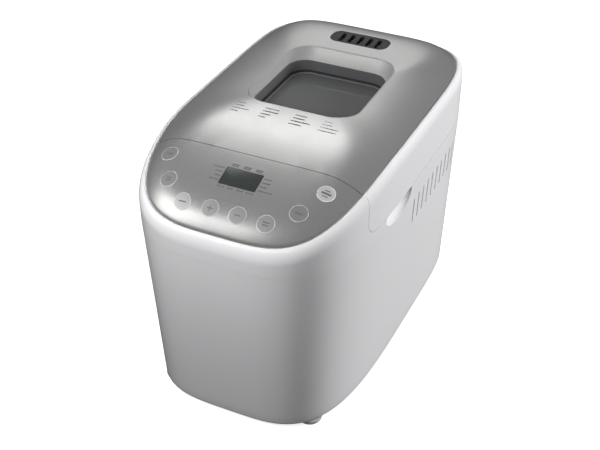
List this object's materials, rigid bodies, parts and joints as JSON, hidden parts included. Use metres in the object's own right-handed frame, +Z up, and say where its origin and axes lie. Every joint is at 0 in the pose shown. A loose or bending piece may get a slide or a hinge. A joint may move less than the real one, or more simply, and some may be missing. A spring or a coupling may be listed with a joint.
{
  "type": "bread machine",
  "caption": "Bread machine with a crowned silver top, sloping control panel, hinged lid with a window, lift-out pan and belt-driven kneading paddle.",
  "frame": {"origin": "on the floor under the middle of the machine, at the bottom centre of its bounding box", "axes": "+Z up; -Y towards the control panel at the front; the lid is hinged along the rear at +Y; +X to the right as seen from the front"},
  "size_m": [0.2648, 0.4256, 0.3014],
  "materials": {
    "white_plastic": "satin-gloss white moulded plastic with a cool tint",
    "silver_top": "satin silver lacquer with a fine sparkle",
    "silver_bezel": "satin silver lacquer on the window frame",
    "dark_plastic": "matt dark grey moulded plastic",
    "window_glass": "smoked heat-resistant glass",
    "display": "dark grey-green display window",
    "key_film": "satin silver touch key with a printed ring",
    "start_key": "bright white touch key",
    "steel": "rolled sheet and bright steel",
    "galvanised": "dull galvanised steel sheet",
    "pan_coating": "dark grey non-stick coating",
    "element": "dulled, heat-tinted steel sheath",
    "rubber": "matt rubber",
    "foot_rubber": "light grey elastomer",
    "silicone": "grey silicone",
    "circuit_board": "green lacquered circuit board",
    "brass": "sintered bronze and brass bushes",
    "nylon": "natural nylon",
    "motor_paint": "dark lacquered motor shell"
  },
  "bodies": {
    "body": {"base_plate": "dark_plastic", "foot_front_left": "foot_rubber", "foot_front_right": "foot_rubber", "foot_rear_left": "foot_rubber", "foot_rear_right": "foot_rubber", "lower_housing": "white_plastic", "upper_housing": "white_plastic", "control_panel_plate": "silver_top", "display_window": "display", "display_module": "circuit_board", "keypad_board": "circuit_board", "hinge_bracket_left": "galvanised", "hinge_bracket_right": "galvanised", "hinge_pin_left": "steel", "hinge_pin_right": "steel", "chamber_deck": "white_plastic", "baking_chamber": "galvanised", "heating_element": "element", "temperature_probe": "steel", "pan_socket": "galvanised", "bearing_housing": "brass", "drive_bridge": "galvanised", "drive_belt": "rubber", "motor_body": "motor_paint", "motor_bracket": "galvanised", "power_board": "circuit_board", "inlet_socket": "dark_plastic"},
    "lid": {"lid_shell": "white_plastic", "lid_top_plate": "silver_top", "window_frame": "silver_bezel", "window_glass": "window_glass", "lid_liner": "galvanised", "inner_window_glass": "window_glass", "vent_grille": "dark_plastic", "lid_seal": "silicone"},
    "menu_button": {"menu_button": "key_film"},
    "start_stop_button": {"start_stop_button": "start_key"},
    "loaf_size_button": {"loaf_size_button": "key_film"},
    "cancel_button": {"cancel_button": "key_film"},
    "crust_button": {"crust_button": "key_film"},
    "home_program_button": {"home_program_button": "key_film"},
    "plus_button": {"plus_button": "key_film"},
    "minus_button": {"minus_button": "key_film"},
    "pan": {"bread_pan": "pan_coating", "pan_bush": "brass"},
    "paddle": {"pan_shaft": "steel", "kneading_paddle": "pan_coating"},
    "bail": {"pan_handle": "steel"},
    "drive": {"drive_shaft": "steel", "drive_coupler": "nylon", "large_pulley": "nylon"},
    "motor_rotor": {"motor_shaft": "steel", "small_pulley": "steel", "motor_fan": "nylon"}
  },
  "joints": [
    {"name": "lid_hinge", "type": "hinge", "parent": "body", "child": "lid", "pos_m": [0, 0.197, 0.24], "axis": [-1, 0, 0], "range_deg": [0, 85]},
    {"name": "menu_press", "type": "slide", "parent": "body", "child": "menu_button", "axis": [0.206, 0.3037, -0.9302], "range_m": [0, 0.0008], "stiffness_N_per_m": 800},
    {"name": "start_stop_press", "type": "slide", "parent": "body", "child": "start_stop_button", "axis": [-0.206, 0.3037, -0.9302], "range_m": [0, 0.0008], "stiffness_N_per_m": 800},
    {"name": "loaf_size_press", "type": "slide", "parent": "body", "child": "loaf_size_button", "axis": [0.1266, 0.4386, -0.8897], "range_m": [0, 0.0008], "stiffness_N_per_m": 800},
    {"name": "cancel_press", "type": "slide", "parent": "body", "child": "cancel_button", "axis": [-0.1266, 0.4386, -0.8897], "range_m": [0, 0.0008], "stiffness_N_per_m": 800},
    {"name": "crust_press", "type": "slide", "parent": "body", "child": "crust_button", "axis": [0.0495, 0.5881, -0.8073], "range_m": [0, 0.0008], "stiffness_N_per_m": 800},
    {"name": "home_program_press", "type": "slide", "parent": "body", "child": "home_program_button", "axis": [-0.0495, 0.5881, -0.8073], "range_m": [0, 0.0008], "stiffness_N_per_m": 800},
    {"name": "plus_press", "type": "slide", "parent": "body", "child": "plus_button", "axis": [0.002, 0.5599, -0.8286], "range_m": [0, 0.0008], "stiffness_N_per_m": 800},
    {"name": "minus_press", "type": "slide", "parent": "body", "child": "minus_button", "axis": [-0.002, 0.5599, -0.8286], "range_m": [0, 0.0008], "stiffness_N_per_m": 800},
    {"name": "pan_lift", "type": "slide", "parent": "body", "child": "pan", "axis": [0, 0, 1], "range_m": [0, 0.012]},
    {"name": "bail_swing", "type": "hinge", "parent": "pan", "child": "bail", "pos_m": [0, 0.0465, 0.179], "axis": [-1, 0, 0], "range_deg": [0, 25]},
    {"name": "paddle_spin", "type": "hinge", "parent": "pan", "child": "paddle", "pos_m": [0, 0.0465, 0.1], "axis": [0, 0, 1], "continuous": true},
    {"name": "drive_spin", "type": "hinge", "parent": "body", "child": "drive", "pos_m": [0, 0.0465, 0.03], "axis": [0, 0, 1], "continuous": true},
    {"name": "motor_spin", "type": "hinge", "parent": "body", "child": "motor_rotor", "pos_m": [0, -0.146, 0.03], "axis": [0, 0, 1], "continuous": true}
  ],
  "couplings": [
    {"joint": "paddle_spin", "follows": "drive_spin", "ratio": 1},
    {"joint": "motor_spin", "follows": "drive_spin", "ratio": 5}
  ]
}
